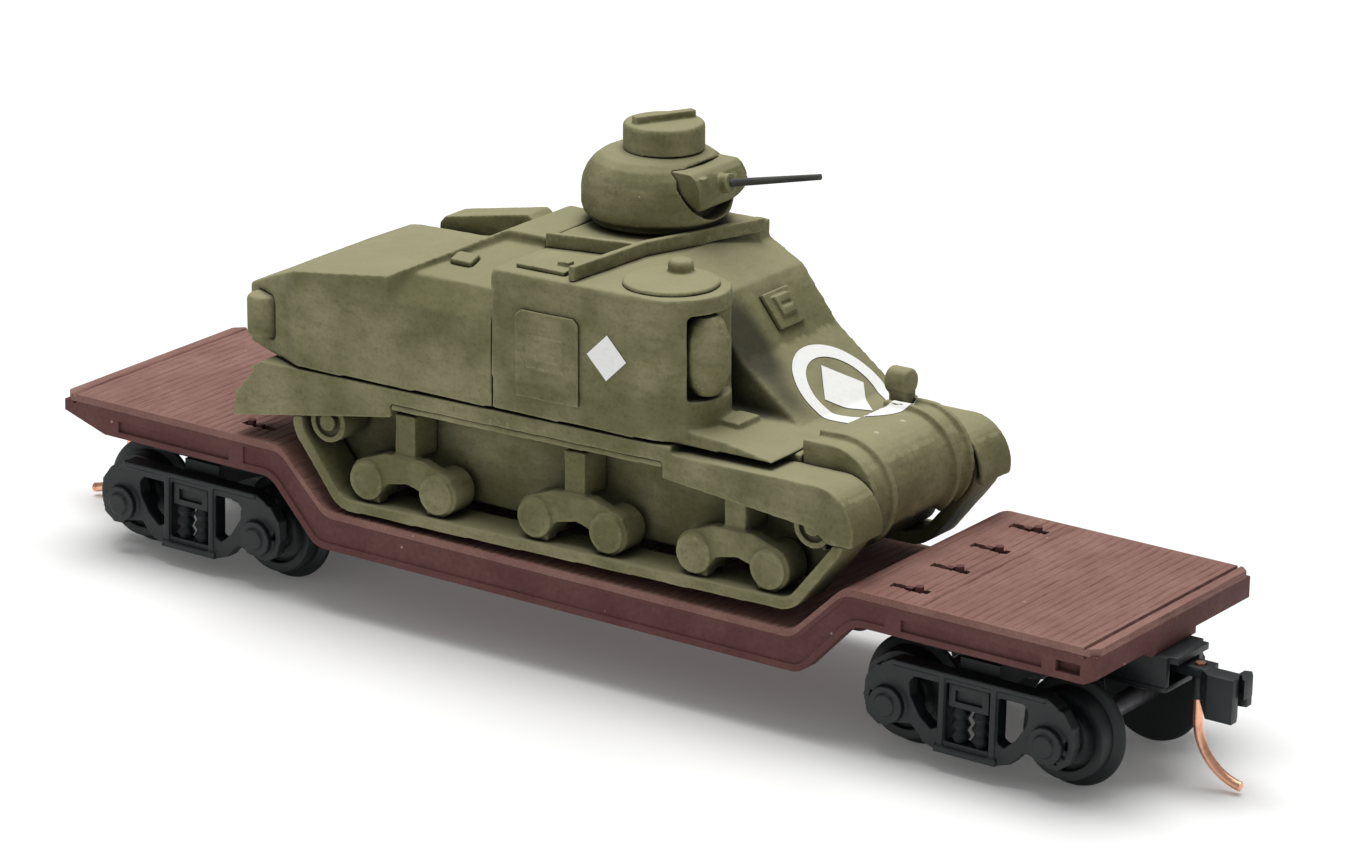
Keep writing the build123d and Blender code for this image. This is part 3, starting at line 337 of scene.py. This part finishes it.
def finish_piece(name, mesh, body, material_key, smooth_angle=35):
    """Object, material, shading and body for a finished mesh."""
    mesh.materials.clear()
    mesh.materials.append(MATERIALS[material_key])
    piece = bpy.data.objects.new(name, mesh)
    bpy.context.scene.collection.objects.link(piece)
    for polygon in mesh.polygons:
        polygon.use_smooth = True
    if smooth_angle < 180:
        mesh.set_sharp_from_angle(angle=math.radians(smooth_angle))
    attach(piece, body)
    return piece


def node_mesh_mm(node):
    """A welded copy of a CAD node's mesh, in millimetres."""
    mesh = NODES[node].data.copy()
    bm = bmesh.new()
    bm.from_mesh(mesh)
    bmesh.ops.scale(bm, vec=(1 / MM,) * 3, verts=bm.verts)
    bmesh.ops.remove_doubles(bm, verts=bm.verts, dist=1e-4)
    bm.to_mesh(mesh)
    bm.free()
    return mesh


def with_modifiers(mesh, modifiers):
    """The mesh after a list of (type, settings) modifiers."""
    helper = bpy.data.objects.new("helper", mesh)
    bpy.context.scene.collection.objects.link(helper)
    for kind, settings in modifiers:
        modifier = helper.modifiers.new(kind.lower(), kind)
        for key, value in settings.items():
            setattr(modifier, key, value)
    graph = bpy.context.evaluated_depsgraph_get()
    result = bpy.data.meshes.new_from_object(helper.evaluated_get(graph))
    bpy.data.objects.remove(helper)
    return result


def to_metres(mesh):
    mesh.transform(Matrix.Scale(MM, 4))
    return mesh


LUMPS = bpy.data.textures.new("casting_lumps", "CLOUDS")
LUMPS.noise_scale = 1.1
LUMPS.noise_depth = 2


def cast_piece(node, voxel, rounds, lump):
    """A CAD node as a casting: its edges melt a little and its faces are faintly uneven."""
    mesh = with_modifiers(node_mesh_mm(node), [
        ("REMESH", {"mode": "VOXEL", "voxel_size": voxel, "use_smooth_shade": True}),
        ("SMOOTH", {"factor": 0.5, "iterations": rounds}),
        ("DISPLACE", {"texture": LUMPS, "texture_coords": "LOCAL", "strength": lump, "mid_level": 0.5}),
    ])
    slot = NODE_SLOT[node]
    piece = finish_piece(node + "_cast", to_metres(mesh), NODE_BODY[node], slot, 180)
    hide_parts(node)
    return piece


def moulded_piece(node, bevel, segments=2, angle=30):
    """A CAD node as a moulding: flat faces joined and every sharp edge slightly rounded."""
    mesh = node_mesh_mm(node)
    bm = bmesh.new()
    bm.from_mesh(mesh)
    bmesh.ops.dissolve_limit(bm, angle_limit=math.radians(1.5), verts=bm.verts, edges=bm.edges)
    bm.to_mesh(mesh)
    bm.free()
    mesh = with_modifiers(mesh, [
        ("BEVEL", {"width": bevel, "segments": segments, "limit_method": "ANGLE",
                   "angle_limit": math.radians(angle), "use_clamp_overlap": True}),
        ("TRIANGULATE", {}),
    ])
    slot = NODE_SLOT[node]
    piece = finish_piece(node + "_moulded", to_metres(mesh), NODE_BODY[node], slot, 40)
    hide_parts(node)
    return piece


def surface_of(pieces):
    """A ray-cast tree of some finished pieces, in millimetres."""
    points, faces = [], []
    for piece in pieces:
        base = len(points)
        points += [v.co / MM for v in piece.data.vertices]
        faces += [[base + i for i in p.vertices] for p in piece.data.polygons]
    return BVHTree.FromPolygons(points, faces)


# ---------------------------------------------------------------- decks
PLANK_PITCH = 0.46
GROOVE_HALF = 0.055
GROOVE_DEPTH = 0.06
DECK_T = 0.35
CORNER_CHAMFER = 0.354
SLOT_X = (15.95, 17.75)
SLOT_Y = (-4.65, -1.55, 1.55, 4.65)
SLOT_HALF = 0.2
SLOT_JAG = 0.06
SLOT_FLOOR = 0.03
SLOT_STEPS = 16
SLOT_EDGE_LINES = (0.15, 0.165, 0.18, 0.2, 0.22, 0.24, 0.26)
SEAM_X = 18.25
SEAM_HALF = 0.09
SEAM_DEPTH = 0.09
SCORE_INSET = 0.56
SCORE_HALF = 0.08
SCORE_DEPTH = 0.16
SCORE_SPAN = (-3.9, 4.3)
CROSS_ROWS = 84


def deck_stations(x0, x1, extra):
    """Lengths along the deck: groove bottoms and edges, the middle of each plank, and extras."""
    count = round((x1 - x0) / PLANK_PITCH)
    pitch = (x1 - x0) / count
    stations = {x0, x1}
    for k in range(count + 1):
        edge = x0 + k * pitch
        if 0 < k < count:
            stations |= {edge, edge - GROOVE_HALF, edge + GROOVE_HALF}
        if k < count:
            stations |= {edge + pitch * part for part in (0.3, 0.5, 0.7)}
    stations |= {x for x in extra if x0 < x < x1}
    ordered = sorted(stations)
    kept = [ordered[0]]
    for x in ordered[1:]:
        if x - kept[-1] > 0.012:
            kept.append(x)
    return kept, pitch


def deck_piece(node):
    """A plank deck as one closed mesh, with grooves, grain and, on the end decks, its slots."""
    lo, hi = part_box(node)
    x0, x1, half_w, top_max = lo.x / MM, hi.x / MM, hi.y / MM, hi.z / MM
    body_top = BVHTree.FromPolygons([v.co / MM for v in NODES[node].data.vertices],
                                    [list(p.vertices) for p in NODES[node].data.polygons])
    end = 1 if x0 > 0 else -1 if x1 < 0 else 0
    extra = []
    if end:
        slot_span = SLOT_X[1] - SLOT_X[0]
        extra = [end * (SLOT_X[0] + slot_span * k / SLOT_STEPS) for k in range(SLOT_STEPS + 1)]
    if end > 0:
        extra += [SEAM_X - SEAM_HALF, SEAM_X, SEAM_X + SEAM_HALF]
        extra += [x1 - SCORE_INSET - SCORE_HALF, x1 - SCORE_INSET, x1 - SCORE_INSET + SCORE_HALF]
    if end:
        outer = x1 if end > 0 else x0
        extra.append(outer - end * CORNER_CHAMFER)
    stations, pitch = deck_stations(x0, x1, extra)
    rows = [-1 + 2 * k / CROSS_ROWS for k in range(CROSS_ROWS + 1)]
    ys = sorted({round(r * half_w, 4) for r in rows}
                | ({round(y + side * d, 4) for y in SLOT_Y for side in (1, -1)
                    for d in SLOT_EDGE_LINES} if end else set()))

    def top(x):
        probe = min(max(x, x0 + 0.005), x1 - 0.005)
        hit = body_top.ray_cast(Vector((probe, 0.31, top_max + 1)), Vector((0, 0, -1)))[0]
        return hit.z

    def sink(x, y):
        """How far the surface lies under the smooth deck."""
        along = (x - x0) / pitch
        plank = math.floor(along)
        from_edge = min(along - plank, plank + 1 - along) * pitch
        at_rim = x - x0 < 0.02 or x1 - x < 0.02
        depth = 0.0
        if not at_rim and from_edge < GROOVE_HALF:
            waver = 0.75 + 0.5 * noise.noise(Vector((plank * 3.7, y * 1.3, 0)))
            depth += GROOVE_DEPTH * waver * (1 - from_edge / GROOVE_HALF)
        depth += 0.012 * (0.5 + 0.5 * noise.noise(Vector((plank * 9.1, 4.2, 1.7))))
        depth += 0.01 * (0.5 + 0.5 * noise.noise(Vector((x * 5.0, y * 0.9, 2.0))))
        if end > 0:
            seam = max(0.0, 1 - abs(x - SEAM_X) / SEAM_HALF)
            depth += SEAM_DEPTH * seam
            score = max(0.0, 1 - abs(x - (x1 - SCORE_INSET)) / SCORE_HALF)
            span = 1 if SCORE_SPAN[0] < y < SCORE_SPAN[1] else 0
            rough = 0.65 + 0.7 * noise.noise(Vector((y * 2.2, 7.0, 0)))
            depth += SCORE_DEPTH * score * span * max(0.15, rough)
        if end and SLOT_X[0] < end * x < SLOT_X[1]:
            for slot_y in SLOT_Y:
                jag = SLOT_JAG * 2 * noise.noise(Vector((x * 3.1, slot_y, math.copysign(5.0, y - slot_y))))
                if abs(y - slot_y) < SLOT_HALF - 0.005 + max(-0.045, min(SLOT_JAG, jag)):
                    depth = DECK_T - SLOT_FLOOR
        return depth

    points, top_rows = [], []
    for x in stations:
        trim = 0.0
        if end:
            trim = max(0.0, CORNER_CHAMFER - abs(outer - x))
        z = top(x)
        row = []
        for y in ys:
            yy = max(-half_w + trim, min(half_w - trim, y))
            if trim:
                yy = y * (half_w - trim) / half_w
            rim = 0.03 if abs(abs(y) - half_w) < 1e-6 else 0.0
            row.append(len(points))
            points.append((x, yy, z - sink(x, yy) * (0.0 if rim else 1.0) - rim))
        top_rows.append((row, z, half_w - trim, x))
    low_rows = []
    for row, z, w, x in top_rows:
        low_rows.append((len(points), len(points) + 1))
        points.append((x, -w, z - DECK_T))
        points.append((x, w, z - DECK_T))
    faces = []
    for k in range(len(top_rows) - 1):
        a, b = top_rows[k][0], top_rows[k + 1][0]
        for j in range(len(a) - 1):
            faces.append((a[j], b[j], b[j + 1], a[j + 1]))
        la, lb = low_rows[k], low_rows[k + 1]
        faces.append((a[0], la[0], lb[0], b[0]))
        faces.append((a[-1], b[-1], lb[1], la[1]))
        faces.append((la[0], la[1], lb[1], lb[0]))
    first, last = top_rows[0][0], top_rows[-1][0]
    faces.append(tuple(first) + (low_rows[0][1], low_rows[0][0]))
    faces.append(tuple(reversed(last)) + (low_rows[-1][0], low_rows[-1][1]))
    piece = new_piece(node + "_planks", NODE_BODY[node], "deck_brown", points, faces, 50)
    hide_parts(node)
    return piece


for deck in ("centre_deck", "end_deck_front", "end_deck_rear"):
    deck_piece(deck)


# ---------------------------------------------------------------- wheels
WHEEL_STEPS = 96
WHEEL_WIDTH = 1.1
TREAD_R = 1.95
HUB_BORE_R = 0.44
RIM_R = 1.55
DISH_R = 1.2


def wheel_profile(tread, flange, hub, rim, dish):
    """(radius, distance out from the wheel's back) round the section of one wheel."""
    return [
        (hub, 0.0), (flange - 0.14, 0.0), (flange - 0.06, 0.02), (flange - 0.012, 0.07), (flange, 0.13),
        (flange - 0.03, 0.2), (flange - 0.12, 0.26), (tread + 0.05, 0.29), (tread, 0.34),
        (tread - 0.05, 1.06), (tread - 0.08, WHEEL_WIDTH), (tread - 0.14, WHEEL_WIDTH),
        (rim, WHEEL_WIDTH), (rim - 0.04, 1.08),
        (rim - 0.09, 0.86), (rim - 0.2, 0.79), (dish, 0.76), (0.95, 0.8), (0.86, 0.86), (0.8, 1.03),
        (0.76, 1.05), (hub, 1.05),
    ]


def wheel_pair(node):
    """Two lathe-turned wheels on one axle, as smooth as real ones."""
    lo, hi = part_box(node)
    cx, cz = (lo.x + hi.x) / 2 / MM, (lo.z + hi.z) / 2 / MM
    flange = (hi.x - lo.x) / 2 / MM
    outer = hi.y / MM
    back = outer - WHEEL_WIDTH
    ring = wheel_profile(TREAD_R, flange, HUB_BORE_R, RIM_R, DISH_R)
    points, faces = [], []
    for side in (1, -1):
        base = len(points)
        for k in range(WHEEL_STEPS):
            a = 2 * math.pi * k / WHEEL_STEPS
            for r, out in ring:
                points.append((cx + r * math.cos(a), side * (back + out), cz + r * math.sin(a)))
        n = len(ring)
        for k in range(WHEEL_STEPS):
            for j in range(n):
                quad = [base + k * n + j, base + k * n + (j + 1) % n,
                        base + ((k + 1) % WHEEL_STEPS) * n + (j + 1) % n,
                        base + ((k + 1) % WHEEL_STEPS) * n + j]
                faces.append(quad if side > 0 else quad[::-1])
    piece = new_piece(node + "_turned", NODE_BODY[node], "truck_black", points, faces, 40)
    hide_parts(node)
    return piece


for end_name in ENDS:
    for place in ("outer", "inner"):
        wheel_pair(f"wheels_{end_name}_{place}")


# ---------------------------------------------------------------- mouldings and castings
moulded_piece("car_body", 0.05)
for end_name in ENDS:
    for part in ("coupler_box", "coupler_lid", "coupler_head", "coupler_knuckle"):
        moulded_piece(f"{part}_{end_name}", 0.045)
    moulded_piece(f"bolster_{end_name}", 0.04)
    for side_name in SIDES:
        cast_piece(f"sideframe_{end_name}_{side_name}", 0.05, 2, 0.0)

CAST_VOXEL = {
    "tank_upper_hull": 0.1, "tank_engine_deck": 0.1, "tank_lower_hull": 0.12, "tank_nose": 0.08,
    "tank_stowage_roll": 0.07, "tank_track_left": 0.075, "tank_track_right": 0.075,
    "tank_fender_left": 0.07, "tank_fender_right": 0.07, "tank_bogies_left": 0.065,
    "tank_bogies_right": 0.065, "turret_shell": 0.075,
}
FINE_VOXEL = 0.05
BULKY_ROUNDS, BULKY_LUMP = 4, 0.035
FINE_ROUNDS, FINE_LUMP = 3, 0.012
CAST = {}
for node_name, slot_name in NODE_SLOT.items():
    if slot_name != "tank_olive":
        continue
    bulky = node_name in CAST_VOXEL
    rounds, lump = (BULKY_ROUNDS, BULKY_LUMP) if bulky else (FINE_ROUNDS, FINE_LUMP)
    CAST[node_name] = cast_piece(node_name, CAST_VOXEL.get(node_name, FINE_VOXEL), rounds, lump)


# ---------------------------------------------------------------- plain white markings
DECAL_PROUD = 0.035
DECAL_START = 6.0


def decal(name, body, outline_rings, to_world, direction, surface):
    """A thin painted marking. outline_rings are rows of (u, v) points that join into a grid."""
    points, faces = [], []
    width = len(outline_rings[0])
    for ring in outline_rings:
        for u, v in ring:
            start = to_world(u, v)
            hit = surface.ray_cast(start - direction * DECAL_START, direction)[0]
            points.append((hit or start) - direction * DECAL_PROUD)
    for k in range(len(outline_rings) - 1):
        for j in range(width):
            a, b = k * width + j, k * width + (j + 1) % width
            faces.append((a, b, b + width, a + width))
    return new_piece(name, body, "white", points, faces, 180)


def ring_rows(outer, inner, steps=180, rows=9):
    """Rows of points between two circles."""
    radii = [outer + (inner - outer) * k / (rows - 1) for k in range(rows)]
    return [[(r * math.cos(2 * math.pi * j / steps), r * math.sin(2 * math.pi * j / steps))
             for j in range(steps)] for r in radii]


def diamond_rows(reach, steps=80, rows=12):
    """Rows of points from a diamond's outline in to its middle."""
    outline = []
    for j in range(steps):
        a = 2 * math.pi * j / steps
        size = reach / (abs(math.cos(a)) + abs(math.sin(a)))
        outline.append((size * math.cos(a), size * math.sin(a)))
    return [[(u * (1 - k / rows), v * (1 - k / rows)) for u, v in outline] for k in range(rows)] + [
        [(u * 0.002, v * 0.002) for u, v in outline]]


HULL_SURFACE = surface_of([CAST["tank_upper_hull"], CAST["tank_nose"]])
SIDE_MARK = Vector((2.6, -6.3, 14.7))
SIDE_MARK_REACH = 1.0
decal("side_marking", "tank", diamond_rows(SIDE_MARK_REACH),
      lambda u, v: SIDE_MARK + Vector((u, 0, v)), Vector((0, 1, 0)), HULL_SURFACE)
PLATE_MARK = Vector((8.68, 2.5, 12.17))
PLATE_OUT = Vector((0.62, 0, 0.785)).normalized()
PLATE_DOWN = Vector((PLATE_OUT.z, 0, -PLATE_OUT.x))
RING_OUTER, RING_INNER, PLATE_MARK_REACH = 2.58, 1.9, 1.5
for mark, rows_of in (("plate_ring", ring_rows(RING_OUTER, RING_INNER)),
                      ("plate_diamond", diamond_rows(PLATE_MARK_REACH))):
    decal(mark, "tank", rows_of,
          lambda u, v: PLATE_MARK + PLATE_DOWN * u + Vector((0, v, 0)), -PLATE_OUT, HULL_SURFACE)


# ---------------------------------------------------------------- CAD nodes that stay as they are
for node_name, node in NODES.items():
    if node.hide_render:
        continue
    node.data.materials.clear()
    node.data.materials.append(MATERIALS[NODE_SLOT[node_name]])


# ---------------------------------------------------------------- floor, light and camera
FLOOR_GLOW = 0.07


def make_floor():
    """Plain pale floor, a fine grid with a faint paper texture."""
    half, steps = 3.0, 24
    points = [((i / steps - 0.5) * 2 * half, (j / steps - 0.5) * 2 * half, 0.0)
              for i in range(steps + 1) for j in range(steps + 1)]
    faces = [(i * (steps + 1) + j, (i + 1) * (steps + 1) + j, (i + 1) * (steps + 1) + j + 1,
              i * (steps + 1) + j + 1) for i in range(steps) for j in range(steps)]
    mesh = bpy.data.meshes.new("floor")
    mesh.from_pydata(points, [], faces)
    g = Graph("floor_paper")
    g.colour(g.mix(g.noise(0.05, 3), (0.9, 0.9, 0.895), (0.93, 0.93, 0.93)))
    g.shader.inputs["Emission Color"].default_value = (1, 1, 0.98, 1)
    g.shader.inputs["Emission Strength"].default_value = FLOOR_GLOW
    g.roughness(g.level(g.noise(0.2, 3), 0.8, 0.95))
    g.bump([(g.noise(2.0, 3), 0.004)])
    mesh.materials.append(g.material)
    floor = bpy.data.objects.new("floor", mesh)
    bpy.context.scene.collection.objects.link(floor)


def area_light(name, place, target, size, power):
    """A soft square light that looks at a target point."""
    light = bpy.data.lights.new(name, "AREA")
    light.size, light.energy = size, power
    lamp = bpy.data.objects.new(name, light)
    bpy.context.scene.collection.objects.link(lamp)
    lamp.location = place
    lamp.rotation_mode = "QUATERNION"
    lamp.rotation_quaternion = (Vector(target) - Vector(place)).to_track_quat("-Z", "Y")


def make_world(strength):
    world = bpy.data.worlds.new("studio")
    world.use_nodes = True
    world.node_tree.nodes["Background"].inputs["Color"].default_value = (1, 1, 1, 1)
    world.node_tree.nodes["Background"].inputs["Strength"].default_value = strength
    bpy.context.scene.world = world


WORLD_STRENGTH = 0.36
KEY_PLACE = (-0.05, 0.03, 0.5)
KEY_TARGET = (0, 0, 0.01)
KEY_SIZE, KEY_POWER = 0.36, 2.35

VIEW_AZIMUTH, VIEW_ELEVATION, VIEW_ROLL = (math.radians(a) for a in (34.0, 18.447, 1.419))
VIEW_SHIFT_MM = (2.205, 9.012)
VIEW_DISTANCE_MM = 266.546
LENS_MM = 162.0
SENSOR_MM = 36.0


def make_camera():
    """The photograph's camera: a long lens, 34 degrees round from the side, looking down 18."""
    a, e, r = VIEW_AZIMUTH, VIEW_ELEVATION, VIEW_ROLL
    back = Vector((math.sin(a) * math.cos(e), -math.cos(a) * math.cos(e), math.sin(e)))
    right = Vector((math.cos(a), math.sin(a), 0))
    up = back.cross(right)
    right, up = math.cos(r) * right + math.sin(r) * up, math.cos(r) * up - math.sin(r) * right
    place = (right * VIEW_SHIFT_MM[0] + up * VIEW_SHIFT_MM[1] + back * VIEW_DISTANCE_MM) * MM
    data = bpy.data.cameras.new("camera")
    data.lens, data.sensor_width, data.sensor_fit = LENS_MM, SENSOR_MM, "HORIZONTAL"
    data.clip_start, data.clip_end = 0.01, 20
    camera = bpy.data.objects.new("camera", data)
    camera.matrix_world = Matrix((right, up, back)).transposed().to_4x4()
    camera.matrix_world.translation = place
    bpy.context.scene.collection.objects.link(camera)
    bpy.context.scene.camera = camera


make_floor()
make_world(WORLD_STRENGTH)
area_light("key", KEY_PLACE, KEY_TARGET, KEY_SIZE, KEY_POWER)
make_camera()
bpy.context.scene.view_settings.view_transform = "Standard"

bpy.context.view_layer.update()
